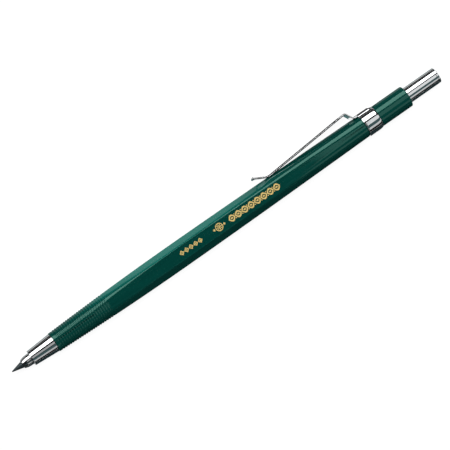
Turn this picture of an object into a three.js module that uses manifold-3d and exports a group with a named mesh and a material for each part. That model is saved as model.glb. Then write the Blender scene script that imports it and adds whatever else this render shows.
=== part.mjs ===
// A lead holder (clutch pencil) for 2 mm leads, in millimetres, +Z up.
// It lies along X on the plane z = 0: the point is at -X, the push button at +X, the pocket clip at +Y.
// Every piece is drawn along local +Y, the pencil's axis. A station is a distance along that axis,
// counted from the front face of the barrel, and the clip is on the local -X side.
import * as THREE from "three";
import { mergeVertices } from "three/addons/utils/BufferGeometryUtils.js";
import Module from "manifold-3d";

const wasm = await Module();
wasm.setup();

// ---------------------------------------------------------------- driving dimensions

// Fits
const SEAT = 0.05; // gap between faces that bear on each other
const PRESS = 0.03; // radial gap of pressed, crimped and screwed joints
const SLIDE = 0.08; // radial gap of sliding guides
const FACETS = 24; // sides of each turned piece: nested pieces line up
const QUARTER_STEPS = 3; // steps in a rounded edge
const OVERRUN = 1; // of a cutting solid past what it cuts

// Lead
const LEAD_RADIUS = 1.0;
const LEAD_POINT_LENGTH = 3.5;
const LEAD_POINT_RADIUS = 0.17; // of the blunt end of the point
const LEAD_POINT_FACE = 0.12; // radius of its worn face
const LEAD_REACH = 3.45; // from the front of the jaws to the point
const LEAD_END_ROOM = 10.8; // from the rear end of the lead to that of its tube

// Clutch jaws, the fingers of the collet
const JAW_COUNT = 3;
const JAW_PHASE = THREE.MathUtils.degToRad(48); // from the marked flat towards the clip, first jaw
const JAW_SLOT = 0.3; // width of the slots between jaws
const JAW_GRIP_GAP = 0.04; // radial, between the jaws and the lead
const JAW_GRIP_LENGTH = 5.2;
const JAW_RELIEF_GAP = 0.12; // the same behind the grip
const FINGER_WALL = 0.23;
const HEAD_RISE = 0.45; // of the head over the fingers
const HEAD_FRONT_WALL = 0.21; // left at the front face of the head
const HEAD_REACH = 3.1; // of the head in front of the nose
const HEAD_MOUTH_GAP = 0.07; // radial, at the rear end of the cones
const HEAD_STEPS = 5;

// Nose cone
const NOSE_LENGTH = 7.95; // in front of the barrel
const NOSE_STEP = 0.14; // of the barrel over the nose
const NOSE_RIM_WALL = 0.44;
const NOSE_RIM_EDGE = 0.12; // rounding of the rim
const MOUTH_LENGTH = 2.0; // of the cone that closes the jaws
const MOUTH_RISE = 0.35; // of that cone, over the throat
const THROAT_GAP = 0.25; // round the fingers
const THROAT_LENGTH = 0.4;
const SPREAD_ROOM = 0.45; // round the fingers, for them to spread
const SHANK_LENGTH = 8.0; // screwed into the barrel

// Collet base, tube and return spring
const TUBE_LEAD_GAP = 0.2;
const TUBE_WALL = 0.45;
const BASE_LENGTH = 4.0;
const BASE_SPIGOT_LENGTH = 3.0;
const BASE_SPIGOT_WALL = 0.25;
const SPRING_WIRE = 0.4;
const SPRING_TUBE_GAP = 0.1;
const SPRING_BORE_GAP = 0.2;
const SPRING_SPACE = 13.5; // between washer and collar
const SPRING_END = 0.3; // from the end of that space to the centre of the wire
const SPRING_TURNS = 9;
const SPRING_STEPS_PER_TURN = 12;
const SPRING_SECTION_SIDES = 6;
const WASHER_THICKNESS = 0.4;
const COLLAR_LENGTH = 2.0;

// Barrel
const BARREL_LENGTH = 109.2; // front face to the clip ring
const BARREL_FRONT_WALL = 0.68; // round the bore
const BARREL_WAIST_RADIUS = 3.95; // of the fattest section
const BARREL_WAIST_STATION = 45.3;
const BARREL_FRONT_POWER = 1.8; // shape of the taper in front of the fattest section
const BARREL_REAR_POWER = 1.3; // and behind it
const BARREL_STEPS = 8; // in each taper
const BARREL_CHAMFER = 0.15;
const FLAT_DEPTH = 0.5; // planed off the fattest section by each of the six flats
const FLAT_COUNT = 6;
const NECK_STEP = 0.25; // of the barrel over the neck inside the clip ring
const RIB_START = 0.9;
const RIB_PITCH = 0.783;
const RIB_COUNT = 23;
const RIB_DEPTH = 0.12;

// Clip ring
const RING_LENGTH = 5.1;
const RING_PROUD = 0.19; // of the ring over the barrel
const RING_FRONT_ROUND = { drop: 0.14, length: 1.5 };
const RING_REAR_ROUND = { drop: 0.35, length: 1.5 };
const RING_TAB_LENGTH = 3.9;

// Clip arm
const CLIP_SHEET = 0.38;
const CLIP_ROOT_WIDTH = 4.2;
const CLIP_TIP_WIDTH = 2.5;
const CLIP_FOOT_LENGTH = 1.15; // from the ring to the riser
const CLIP_FOOT_GAP = 0.05; // over the barrel
const CLIP_RISE = 2.5; // of the arm's rear end over its foot
const CLIP_RISER_LEAN = 1.3; // of the riser, towards the point
const CLIP_REACH = 31.3; // from the ring to where the arm touches the barrel
const CLIP_TOUCH_GAP = 0.06;
const CLIP_TIP_REACH = 3.8; // from there to the end of the tip
const CLIP_TIP_RISE = 2.0;
const CLIP_BENDS = { foot: 0.8, riser: 0.6, touch: 3.0 };
const CLIP_BEND_STEPS = 5;
const CLIP_BEAD_RADIUS = 0.34;
const CLIP_BEAD_SIDES = 12;

// Rear sleeve
const SLEEVE_LENGTH = 10.5;
const SLEEVE_WALL = 0.79; // round the push button
const SLEEVE_ROUND = 0.7; // rounding of the rear end
const SPIGOT_LENGTH = 10.3; // in the rear of the barrel
const SPIGOT_WALL = 0.2; // left round the push button at its stop
const NECK_WALL = 0.4; // of the barrel round the spigot
const SHOULDER_DEPTH = 0.3; // of the button's stop, under the ring

// Push button
const BUTTON_WALL = 0.45;
const BUTTON_EXPOSED = 10.9;
const BUTTON_CHAMFER = 0.1;
const PRESS_TRAVEL = 3.0;
const CAP_LENGTH = 0.8;
const CAP_ROUND = 0.45;
const CAP_SPIGOT_LENGTH = 1.3;
const TUBE_END_DEPTH = 9.25; // from the end of the button to that of the lead tube
const FERRULE_LENGTH = 5.0;
const FERRULE_WALL = 0.28;
const FERRULE_SLIT = 0.5;
const POINTER_ROOM = 0.5; // between the tube and the pointer
const POINTER_LENGTH = 5.0;
const POINTER_MOUTH_GAP = 0.1; // round the lead
const POINTER_OUTLET = 0.25; // radius of the dust hole
const POINTER_HALF_ANGLE = THREE.MathUtils.degToRad(13);
const BLADE_COUNT = 2;
const BLADE_THICKNESS = 0.25;
const BLADE_WIDTH = 0.5;

// ---------------------------------------------------------------- derived sizes and stations

const fingerBore = LEAD_RADIUS + JAW_GRIP_GAP;
const fingerRelief = LEAD_RADIUS + JAW_RELIEF_GAP;
const fingerRadius = fingerRelief + FINGER_WALL;
const headRadius = fingerRadius + HEAD_RISE;
const throatRadius = fingerRadius + THROAT_GAP;
const mouthRadius = throatRadius + MOUTH_RISE;
const rimRadius = mouthRadius + NOSE_RIM_WALL;
const shankBore = fingerRadius + SPREAD_ROOM;

const tubeBore = LEAD_RADIUS + TUBE_LEAD_GAP;
const tubeRadius = tubeBore + TUBE_WALL;
const baseBore = LEAD_RADIUS + JAW_RELIEF_GAP;
const baseSpigotRadius = baseBore + BASE_SPIGOT_WALL;
const springCoilRadius = tubeRadius + SPRING_TUBE_GAP + SPRING_WIRE / 2;
const barrelBore = springCoilRadius + SPRING_WIRE / 2 + SPRING_BORE_GAP;
const shankRadius = barrelBore - PRESS;
const barrelFrontRadius = barrelBore + BARREL_FRONT_WALL;
const noseRearRadius = barrelFrontRadius - NOSE_STEP;

const ferruleRadius = tubeRadius + PRESS + FERRULE_WALL;
const buttonBore = ferruleRadius + PRESS;
const buttonRadius = buttonBore + BUTTON_WALL;
const sleeveBore = buttonRadius + SLIDE;
const sleeveRadius = sleeveBore + SLEEVE_WALL;
const guideBore = tubeRadius + SLIDE;
const spigotRadius = sleeveBore + SPIGOT_WALL;
const socketRadius = spigotRadius + PRESS;
const neckRadius = socketRadius + NECK_WALL;
const barrelRearRadius = neckRadius + NECK_STEP;
const ringBore = neckRadius + PRESS;
const ringRadius = barrelRearRadius + RING_PROUD;

const jawFront = -NOSE_LENGTH - HEAD_REACH;
const leadPoint = jawFront - LEAD_REACH;
const jawPivot = SHANK_LENGTH;
const baseEnd = jawPivot + SEAT + BASE_LENGTH;
const washerFront = SHANK_LENGTH + SEAT;
const springFront = washerFront + WASHER_THICKNESS;
const collarFront = springFront + SPRING_SPACE;
const ringFront = BARREL_LENGTH + SEAT;
const neckEnd = BARREL_LENGTH + RING_LENGTH - SEAT;
const sleeveFront = BARREL_LENGTH + RING_LENGTH;
const sleeveEnd = sleeveFront + SLEEVE_LENGTH;
const socketFloor = sleeveFront - SPIGOT_LENGTH - SEAT;
const shoulderStation = sleeveFront - SHOULDER_DEPTH;
const buttonFront = shoulderStation + PRESS_TRAVEL + SEAT;
const buttonEnd = sleeveEnd + BUTTON_EXPOSED;
const capSeat = buttonEnd - CAP_LENGTH;
const tubeEnd = buttonEnd - TUBE_END_DEPTH;
const pointerFront = tubeEnd + POINTER_ROOM;

// ---------------------------------------------------------------- materials

function material(color, roughness, metalness) {
  return new THREE.MeshStandardMaterial({ color, roughness, metalness });
}

const greenPlastic = material(0x0b4a40, 0.25, 0);
const chrome = material(0xd8dcdf, 0.12, 1);
const brass = material(0xb9964f, 0.35, 1);
const springSteel = material(0x9aa0a4, 0.3, 1);
const graphite = material(0x3a4245, 0.45, 0.2);

// ---------------------------------------------------------------- shape helpers

// A closed mesh as a solid for cutting and joining.
function solidOf(geometry) {
  const bare = geometry.index ? geometry.toNonIndexed() : geometry.clone();
  bare.deleteAttribute("normal");
  bare.deleteAttribute("uv");
  const merged = mergeVertices(bare, 1e-4);
  return new wasm.Manifold(
    new wasm.Mesh({
      numProp: 3,
      vertProperties: merged.attributes.position.array,
      triVerts: new Uint32Array(merged.index.array),
    }),
  );
}

function geometryOf(solid) {
  const { vertProperties, triVerts } = solid.getMesh();
  const shared = new THREE.BufferGeometry();
  shared.setAttribute("position", new THREE.BufferAttribute(vertProperties, 3));
  shared.setIndex(new THREE.BufferAttribute(triVerts, 1));
  const geometry = shared.toNonIndexed();
  geometry.computeVertexNormals();
  return geometry;
}

// A turned piece. Its profile is a list of [radius, station], outside first and running to the rear.
// A profile that doesn't start on the axis closes on itself.
function turned(profile) {
  const points = profile.map(([radius, station]) => new THREE.Vector2(radius, station));
  if (profile[0][0] > 0) points.push(points[0].clone());
  return new THREE.LatheGeometry(points, FACETS);
}

// A straight-walled tube as a turned profile.
function tubeProfile(inner, outer, front, rear) {
  return [
    [inner, front],
    [outer, front],
    [outer, rear],
    [inner, rear],
  ];
}

// Points of a quarter ellipse from the end of a face round to the side of a turned piece.
// The face is at faceStation, the side at sideRadius; the last point lies on the side.
function quarter(sideRadius, drop, faceStation, length, steps) {
  return Array.from({ length: steps + 1 }, (_, i) => {
    const angle = (Math.PI / 2) * (i / steps);
    return [
      sideRadius - drop * (1 - Math.sin(angle)),
      faceStation + length * (1 - Math.cos(angle)),
    ];
  });
}

function outline(points) {
  return new THREE.Shape(points.map(([x, y]) => new THREE.Vector2(x, y)));
}

// A prism along the pencil's axis; its outline is a list of [x, z].
function prismAlongAxis(points, front, rear) {
  const shape = outline(points.map(([x, z]) => [x, -z]));
  const prism = new THREE.ExtrudeGeometry(shape, {
    depth: rear - front,
    bevelEnabled: false,
  });
  return prism.rotateX(-Math.PI / 2).translate(0, front, 0);
}

// A plate parallel to the plane through the axis and the clip; its outline is a list of [x, station].
function plate(points, thickness) {
  const slab = new THREE.ExtrudeGeometry(outline(points), {
    depth: thickness,
    bevelEnabled: false,
  });
  return slab.translate(0, 0, -thickness / 2);
}

// A polyline of [a, b] corners with an arc of the given radius at each inner corner.
function roundedLine(corners, radii, steps) {
  const at = corners.map(([a, b]) => new THREE.Vector2(a, b));
  const line = [at[0]];
  for (let i = 1; i < at.length - 1; i += 1) {
    const back = at[i - 1].clone().sub(at[i]).normalize();
    const ahead = at[i + 1].clone().sub(at[i]).normalize();
    const half = back.angleTo(ahead) / 2;
    const centre = back.clone().add(ahead).normalize().multiplyScalar(radii[i - 1] / Math.sin(half));
    const toStart = back.clone().multiplyScalar(radii[i - 1] / Math.tan(half)).sub(centre);
    const sweep = (Math.PI - 2 * half) * Math.sign(back.cross(ahead));
    centre.add(at[i]);
    for (let k = 0; k <= steps; k += 1) {
      const spoke = toStart.clone().rotateAround(new THREE.Vector2(), (-sweep * k) / steps);
      line.push(spoke.add(centre));
    }
  }
  line.push(at[at.length - 1]);
  return line;
}

// The outline of a sheet of the given thickness along a centre line.
function sheetOutline(line, thickness) {
  const normals = line.map((point, i) => {
    const before = line[Math.max(i - 1, 0)];
    const after = line[Math.min(i + 1, line.length - 1)];
    const along = after.clone().sub(before).normalize();
    return new THREE.Vector2(-along.y, along.x).multiplyScalar(thickness / 2);
  });
  const left = line.map((point, i) => point.clone().add(normals[i]).toArray());
  const right = line.map((point, i) => point.clone().sub(normals[i]).toArray());
  return [...left, ...right.reverse()];
}

// ---------------------------------------------------------------- barrel

// Radius of the barrel's round form at a station.
function barrelRadius(station) {
  if (station < BARREL_WAIST_STATION) {
    const share = (BARREL_WAIST_STATION - station) / BARREL_WAIST_STATION;
    const drop = BARREL_WAIST_RADIUS - barrelFrontRadius;
    return BARREL_WAIST_RADIUS - drop * share ** BARREL_FRONT_POWER;
  }
  const share = (station - BARREL_WAIST_STATION) / (BARREL_LENGTH - BARREL_WAIST_STATION);
  const drop = BARREL_WAIST_RADIUS - barrelRearRadius;
  return BARREL_WAIST_RADIUS - drop * share ** BARREL_REAR_POWER;
}

// Crests and valleys of the grip rings, in turn.
function ribPoints() {
  return Array.from({ length: 2 * RIB_COUNT + 1 }, (_, i) => {
    const station = RIB_START + (i * RIB_PITCH) / 2;
    const depth = i % 2 ? RIB_DEPTH : 0;
    return [barrelRadius(station) - depth, station];
  });
}

// Points along the round form after one station, up to and including another.
function barrelPoints(from, to) {
  return Array.from({ length: BARREL_STEPS }, (_, i) => {
    const station = from + ((to - from) * (i + 1)) / BARREL_STEPS;
    return [barrelRadius(station), station];
  });
}

function barrelGeometry() {
  const ribEnd = RIB_START + RIB_COUNT * RIB_PITCH;
  const round = turned([
    [barrelBore, 0],
    [barrelFrontRadius - BARREL_CHAMFER, 0],
    [barrelRadius(BARREL_CHAMFER), BARREL_CHAMFER],
    ...ribPoints(),
    ...barrelPoints(ribEnd, BARREL_WAIST_STATION),
    ...barrelPoints(BARREL_WAIST_STATION, BARREL_LENGTH),
    [neckRadius, BARREL_LENGTH],
    [neckRadius, neckEnd],
    [socketRadius, neckEnd],
    [socketRadius, socketFloor],
    [barrelBore, socketFloor],
  ]);
  const cornerRadius = (BARREL_WAIST_RADIUS - FLAT_DEPTH) / Math.cos(Math.PI / FLAT_COUNT);
  const corners = Array.from({ length: FLAT_COUNT }, (_, i) => {
    const angle = (2 * Math.PI * i) / FLAT_COUNT;
    return [cornerRadius * Math.cos(angle), -cornerRadius * Math.sin(angle)];
  });
  const hexagon = prismAlongAxis(corners, -OVERRUN, neckEnd + OVERRUN);
  return geometryOf(solidOf(round).intersect(solidOf(hexagon)));
}

// ---------------------------------------------------------------- nose and clutch

function noseGeometry() {
  const throatFront = MOUTH_LENGTH - NOSE_LENGTH;
  const throatRear = throatFront + THROAT_LENGTH;
  return turned([
    [mouthRadius, -NOSE_LENGTH],
    [rimRadius - NOSE_RIM_EDGE, -NOSE_LENGTH],
    [rimRadius, NOSE_RIM_EDGE - NOSE_LENGTH],
    [noseRearRadius, -SEAT],
    [shankRadius, -SEAT],
    [shankRadius, SHANK_LENGTH],
    [shankBore, SHANK_LENGTH],
    [shankBore, throatRear + SPREAD_ROOM],
    [throatRadius, throatRear],
    [throatRadius, throatFront],
  ]);
}

// Outline of the head in front of the nose: it rounds over towards the lead.
function headPoints() {
  const drop = headRadius - (fingerBore + HEAD_FRONT_WALL);
  return Array.from({ length: HEAD_STEPS + 1 }, (_, i) => {
    const share = 1 - i / HEAD_STEPS;
    return [headRadius - drop * share ** 3, jawFront + HEAD_REACH * (1 - share)];
  });
}

// One jaw, about its root on the jaw pivot, pointing to local +Z.
function jawGeometry() {
  const coneEnd = MOUTH_LENGTH - NOSE_LENGTH;
  const collet = turned([
    [fingerBore, jawFront],
    ...headPoints(),
    [throatRadius - HEAD_MOUTH_GAP, coneEnd],
    [fingerRadius, coneEnd + THROAT_GAP],
    [fingerRadius, jawPivot - SEAT],
    [fingerRelief, jawPivot - SEAT],
    [fingerRelief, jawFront + JAW_GRIP_LENGTH],
    [fingerBore, jawFront + JAW_GRIP_LENGTH],
  ]);
  const halfAngle = Math.PI / JAW_COUNT;
  const apex = JAW_SLOT / 2 / Math.sin(halfAngle);
  const far = 4 * headRadius;
  const side = [far * Math.sin(halfAngle), apex + far * Math.cos(halfAngle)];
  const wedge = prismAlongAxis(
    [
      [0, apex],
      [side[0], side[1]],
      [side[0], far],
      [-side[0], far],
      [-side[0], side[1]],
    ],
    jawFront - OVERRUN,
    jawPivot + OVERRUN,
  );
  return geometryOf(solidOf(collet).intersect(solidOf(wedge))).translate(0, -jawPivot, 0);
}

function colletBaseGeometry() {
  return turned([
    [baseBore, 0],
    [tubeRadius, 0],
    [tubeRadius, BASE_LENGTH],
    [baseSpigotRadius, BASE_LENGTH],
    [baseSpigotRadius, BASE_LENGTH + BASE_SPIGOT_LENGTH],
    [baseBore, BASE_LENGTH + BASE_SPIGOT_LENGTH],
  ]);
}

function leadGeometry() {
  const length = tubeEnd - LEAD_END_ROOM - leadPoint;
  return turned([
    [0, 0],
    [LEAD_POINT_FACE, 0],
    [LEAD_POINT_RADIUS, LEAD_POINT_RADIUS],
    [LEAD_RADIUS, LEAD_POINT_LENGTH],
    [LEAD_RADIUS, length],
    [0, length],
  ]);
}

// ---------------------------------------------------------------- tube and spring

// The lead tube, from the face of the collet base, whose spigot it takes.
function tubeGeometry() {
  const length = tubeEnd - baseEnd - SEAT;
  const socket = baseSpigotRadius + PRESS;
  const socketDepth = BASE_SPIGOT_LENGTH;
  return turned([
    [socket, 0],
    [tubeRadius, 0],
    [tubeRadius, length],
    [tubeBore, length],
    [tubeBore, socketDepth],
    [socket, socketDepth],
  ]);
}

function collarGeometry() {
  return turned(tubeProfile(tubeRadius + PRESS, barrelBore - SLIDE, 0, COLLAR_LENGTH));
}

function washerGeometry() {
  return turned(tubeProfile(shankBore, barrelBore - SLIDE, 0, WASHER_THICKNESS));
}

class Helix extends THREE.Curve {
  getPoint(share, target = new THREE.Vector3()) {
    const angle = 2 * Math.PI * SPRING_TURNS * share;
    const length = SPRING_SPACE - 2 * SPRING_END;
    return target.set(
      springCoilRadius * Math.cos(angle),
      length * share,
      springCoilRadius * Math.sin(angle),
    );
  }
}

function springGeometry() {
  const section = Array.from({ length: SPRING_SECTION_SIDES }, (_, i) => {
    const angle = (2 * Math.PI * i) / SPRING_SECTION_SIDES;
    return [(SPRING_WIRE / 2) * Math.cos(angle), (SPRING_WIRE / 2) * Math.sin(angle)];
  });
  return new THREE.ExtrudeGeometry(outline(section), {
    extrudePath: new Helix(),
    steps: SPRING_TURNS * SPRING_STEPS_PER_TURN,
    bevelEnabled: false,
  });
}

// ---------------------------------------------------------------- clip

const clipFootRadius = barrelRearRadius + CLIP_FOOT_GAP + CLIP_SHEET / 2;

// The band with the tab that the clip arm springs from, about its front face.
function clipRingGeometry() {
  const length = neckEnd - ringFront;
  const front = quarter(ringRadius, RING_FRONT_ROUND.drop, 0, RING_FRONT_ROUND.length, QUARTER_STEPS);
  const rear = quarter(ringRadius, RING_REAR_ROUND.drop, 0, RING_REAR_ROUND.length, QUARTER_STEPS)
    .map(([radius, station]) => [radius, length - station])
    .reverse();
  const band = turned([[ringBore, 0], ...front, ...rear, [ringBore, length]]);
  const tabSleeve = turned(tubeProfile(ringBore, clipFootRadius + CLIP_SHEET / 2, 0, RING_TAB_LENGTH));
  const strip = plate(
    [
      [0, -OVERRUN],
      [0, length + OVERRUN],
      [-2 * ringRadius, length + OVERRUN],
      [-2 * ringRadius, -OVERRUN],
    ],
    CLIP_ROOT_WIDTH,
  );
  return geometryOf(solidOf(band).add(solidOf(tabSleeve).intersect(solidOf(strip))));
}

// The arm, about the station of its foot's end.
function clipArmGeometry() {
  const riserStation = -CLIP_FOOT_LENGTH;
  const crest = [clipFootRadius + CLIP_RISE, riserStation - CLIP_RISER_LEAN];
  const touchStation = -CLIP_REACH;
  const tipSlope = Math.atan2(CLIP_TIP_RISE, CLIP_TIP_REACH);
  const clear = barrelRadius(ringFront - SEAT - CLIP_REACH) + CLIP_TOUCH_GAP + CLIP_SHEET / 2;
  const armSlope = Math.atan2(crest[0] - clear, crest[1] - touchStation);
  const bendDepth = CLIP_BENDS.touch * (1 / Math.cos((armSlope + tipSlope) / 2) - 1);
  const touch = [clear - bendDepth, touchStation];
  const tip = [touch[0] + CLIP_TIP_RISE, touchStation - CLIP_TIP_REACH];
  const line = roundedLine(
    [[clipFootRadius, 0], [clipFootRadius, riserStation], crest, touch, tip].map(
      ([radius, station]) => [-radius, station],
    ),
    [CLIP_BENDS.foot, CLIP_BENDS.riser, CLIP_BENDS.touch],
    CLIP_BEND_STEPS,
  );
  const sheet = plate(sheetOutline(line, CLIP_SHEET), CLIP_ROOT_WIDTH);
  const bead = new THREE.CylinderGeometry(
    CLIP_BEAD_RADIUS,
    CLIP_BEAD_RADIUS,
    CLIP_ROOT_WIDTH,
    CLIP_BEAD_SIDES,
  );
  bead.rotateX(Math.PI / 2).translate(-tip[0], tip[1], 0);
  const halfRoot = CLIP_ROOT_WIDTH / 2;
  const halfTip = CLIP_TIP_WIDTH / 2;
  const tipEnd = tip[1] - CLIP_BEAD_RADIUS;
  const widths = new THREE.ExtrudeGeometry(
    outline([
      [halfRoot, OVERRUN],
      [-halfRoot, OVERRUN],
      [-halfRoot, crest[1]],
      [-halfTip, tipEnd],
      [halfTip, tipEnd],
      [halfRoot, crest[1]],
    ]),
    { depth: 2 * tip[0], bevelEnabled: false },
  );
  widths.rotateY(-Math.PI / 2);
  return geometryOf(solidOf(sheet).add(solidOf(bead)).intersect(solidOf(widths)));
}

// ---------------------------------------------------------------- rear sleeve and push button

function rearSleeveGeometry() {
  const spigotFront = -SPIGOT_LENGTH;
  const rear = quarter(sleeveRadius, SLEEVE_ROUND, 0, SLEEVE_ROUND, QUARTER_STEPS)
    .map(([radius, station]) => [radius, SLEEVE_LENGTH - station])
    .reverse();
  return turned([
    [guideBore, spigotFront],
    [spigotRadius, spigotFront],
    [spigotRadius, 0],
    [sleeveRadius - BUTTON_CHAMFER, 0],
    [sleeveRadius, BUTTON_CHAMFER],
    ...rear,
    [sleeveBore, SLEEVE_LENGTH],
    [sleeveBore, -SHOULDER_DEPTH],
    [guideBore, -SHOULDER_DEPTH],
  ]);
}

function buttonGeometry() {
  const length = capSeat - buttonFront;
  return turned([
    [buttonBore, 0],
    [buttonRadius - BUTTON_CHAMFER, 0],
    [buttonRadius, BUTTON_CHAMFER],
    [buttonRadius, length],
    [buttonBore, length],
  ]);
}

function endCapGeometry() {
  const rounded = quarter(buttonRadius, CAP_ROUND, 0, CAP_ROUND, QUARTER_STEPS)
    .map(([radius, station]) => [radius, CAP_LENGTH - station])
    .reverse();
  return turned([
    [0, -CAP_SPIGOT_LENGTH],
    [buttonBore - PRESS, -CAP_SPIGOT_LENGTH],
    [buttonBore - PRESS, SEAT],
    [buttonRadius, SEAT],
    ...rounded,
    [0, CAP_LENGTH],
  ]);
}

function ferruleGeometry() {
  const ring = turned(tubeProfile(tubeRadius + PRESS, ferruleRadius, 0, FERRULE_LENGTH));
  const slit = new THREE.BoxGeometry(FERRULE_SLIT, 4 * FERRULE_LENGTH, 2 * buttonRadius);
  slit.translate(0, 0, -buttonRadius);
  return geometryOf(solidOf(ring).subtract(solidOf(slit)));
}

const pointerMouth = LEAD_RADIUS + POINTER_MOUTH_GAP;
const pointerDepth = (pointerMouth - POINTER_OUTLET) / Math.tan(POINTER_HALF_ANGLE);

// Outline of a blade, or of its slot when grown: it lies along the pointer's conical hole.
function bladeOutline(grown) {
  return [
    [pointerMouth - grown, -grown],
    [pointerMouth + BLADE_WIDTH + grown, -grown],
    [POINTER_OUTLET + BLADE_WIDTH + grown, pointerDepth + grown],
    [POINTER_OUTLET - grown, pointerDepth + grown],
  ];
}

function pointerGeometry() {
  let insert = solidOf(
    turned([
      [pointerMouth, 0],
      [buttonBore - PRESS, 0],
      [buttonBore - PRESS, POINTER_LENGTH],
      [POINTER_OUTLET, POINTER_LENGTH],
      [POINTER_OUTLET, pointerDepth],
    ]),
  );
  for (let i = 0; i < BLADE_COUNT; i += 1) {
    const slot = plate(bladeOutline(SEAT), BLADE_THICKNESS + 2 * SEAT);
    insert = insert.subtract(solidOf(slot.rotateY((2 * Math.PI * i) / BLADE_COUNT)));
  }
  return geometryOf(insert);
}

function bladeGeometry() {
  return plate(bladeOutline(0), BLADE_THICKNESS);
}

// ---------------------------------------------------------------- assembly

const pencil = new THREE.Group();

function place(name, geometry, finish, station, parent = pencil) {
  const mesh = new THREE.Mesh(geometry, finish);
  mesh.name = name;
  mesh.position.y = station;
  parent.add(mesh);
  return mesh;
}

const body = new THREE.Group();
const carriage = new THREE.Group();
const button = new THREE.Group();
pencil.add(body, carriage, button);

place("barrel", barrelGeometry(), greenPlastic, 0, body);
place("nose_cone", noseGeometry(), chrome, 0, body);
place("spring_washer", washerGeometry(), springSteel, washerFront, body);
place("clip_ring", clipRingGeometry(), chrome, ringFront, body);
place("clip_arm", clipArmGeometry(), chrome, ringFront - SEAT, body);
place("rear_sleeve", rearSleeveGeometry(), greenPlastic, sleeveFront, body);

const jaw = jawGeometry();
for (let i = 0; i < JAW_COUNT; i += 1) {
  const mesh = place(`clutch_jaw_${i + 1}`, jaw, chrome, jawPivot, carriage);
  mesh.rotation.y = -(JAW_PHASE + (2 * Math.PI * i) / JAW_COUNT);
}
place("collet_base", colletBaseGeometry(), brass, jawPivot + SEAT, carriage);
place("lead", leadGeometry(), graphite, leadPoint, carriage);
place("lead_tube", tubeGeometry(), brass, baseEnd + SEAT, carriage);
place("spring_collar", collarGeometry(), brass, collarFront, carriage);
place("return_spring", springGeometry(), springSteel, springFront + SPRING_END, body);
place("tube_ferrule", ferruleGeometry(), brass, tubeEnd - FERRULE_LENGTH, carriage);

place("push_button", buttonGeometry(), chrome, buttonFront, button);
place("button_end_cap", endCapGeometry(), chrome, capSeat, button);
place("pointer_insert", pointerGeometry(), brass, pointerFront, button);
for (let i = 0; i < BLADE_COUNT; i += 1) {
  const blade = place(`pointer_blade_${i + 1}`, bladeGeometry(), springSteel, pointerFront, button);
  blade.rotation.y = (2 * Math.PI * i) / BLADE_COUNT;
}

// Laid down along X, with its lowest point on z = 0 and the middle of its box over the origin.
pencil.rotation.z = -Math.PI / 2;
const group = new THREE.Group();
group.add(pencil);
group.updateMatrixWorld(true);
const box = new THREE.Box3().setFromObject(group, true);
pencil.position.set(-(box.min.x + box.max.x) / 2, -(box.min.y + box.max.y) / 2, -box.min.z);

export default group;
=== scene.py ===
# A lead holder (clutch pencil) for 2 mm leads: its visible pieces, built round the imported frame.
# Lengths are millimetres until place() turns them into metres. A station is a distance along the
# pencil from the front face of its barrel. A turn is an angle about its axis, from the marked
# flat (+Z) towards the clip (+Y).
import math

import bmesh
import bpy
from mathutils import Matrix, Vector

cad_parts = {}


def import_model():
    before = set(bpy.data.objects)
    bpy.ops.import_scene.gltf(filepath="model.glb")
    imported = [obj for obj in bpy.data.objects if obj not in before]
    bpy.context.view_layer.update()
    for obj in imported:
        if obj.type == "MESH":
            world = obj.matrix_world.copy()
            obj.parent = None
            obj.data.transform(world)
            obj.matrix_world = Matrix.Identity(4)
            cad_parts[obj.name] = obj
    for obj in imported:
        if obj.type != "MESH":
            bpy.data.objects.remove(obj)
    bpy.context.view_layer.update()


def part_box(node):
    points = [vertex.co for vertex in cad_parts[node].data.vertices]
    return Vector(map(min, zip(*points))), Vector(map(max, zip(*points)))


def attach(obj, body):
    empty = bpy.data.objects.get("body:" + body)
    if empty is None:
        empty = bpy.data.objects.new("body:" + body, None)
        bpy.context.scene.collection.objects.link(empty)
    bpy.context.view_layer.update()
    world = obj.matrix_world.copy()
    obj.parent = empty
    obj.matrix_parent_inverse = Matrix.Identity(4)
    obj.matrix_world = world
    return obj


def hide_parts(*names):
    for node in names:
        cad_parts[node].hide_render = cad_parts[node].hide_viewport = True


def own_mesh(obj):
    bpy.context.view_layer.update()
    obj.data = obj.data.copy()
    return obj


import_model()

# ---------------------------------------------------------------- the pencil's own axis

MM = 0.001
lead_low, lead_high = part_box("lead")
AXIS_Y = (lead_low.y + lead_high.y) / 2
AXIS_Z = (lead_low.z + lead_high.z) / 2
FRONT_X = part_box("barrel")[0].x


def place(station, radius, turn):
    """The point at a station, a distance from the axis and a turn about it."""
    across, up = radius * math.sin(turn), radius * math.cos(turn)
    return Vector((FRONT_X + station * MM, AXIS_Y + across * MM, AXIS_Z + up * MM))


def reach(node):
    """First station, last station and radius of a turned CAD node."""
    low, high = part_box(node)
    return (low.x - FRONT_X) / MM, (high.x - FRONT_X) / MM, (high.z - AXIS_Z) / MM


# ---------------------------------------------------------------- sizes

# Fits
SEAT = 0.05
PRESS = 0.03

# Barrel
WAIST_STATION = 45.3
WAIST_RADIUS = 3.95
FRONT_TAPER_POWER = 1.8
REAR_TAPER_POWER = 1.3
FRONT_RADIUS = 3.03
REAR_RADIUS = 3.4
FLAT_RADIUS = 3.45
FLAT_TURN = math.radians(60)
FLAT_BLEND = 0.24  # rounding where the flats meet the round form
BLEND_TURN = math.radians(1.6)
FLAT_LEAST_TURN = math.radians(5)
CORNER_WEAR_TURN = math.radians(4)
CORNER_WEAR_RADIUS = 3.7
BARREL_EDGE = 0.12
BARREL_STEPS = 90
RIB_START = 0.9
RIB_PITCH = 0.783
RIB_COUNT = 23
RIB_DEPTH = 0.16
RIB_PROUD = 0.4
RIB_STEPS = 10
NECK_RADIUS = 3.15
SOCKET_RADIUS = 2.75
BARREL_BORE = 2.35
INNER_EDGE = 0.05

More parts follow.
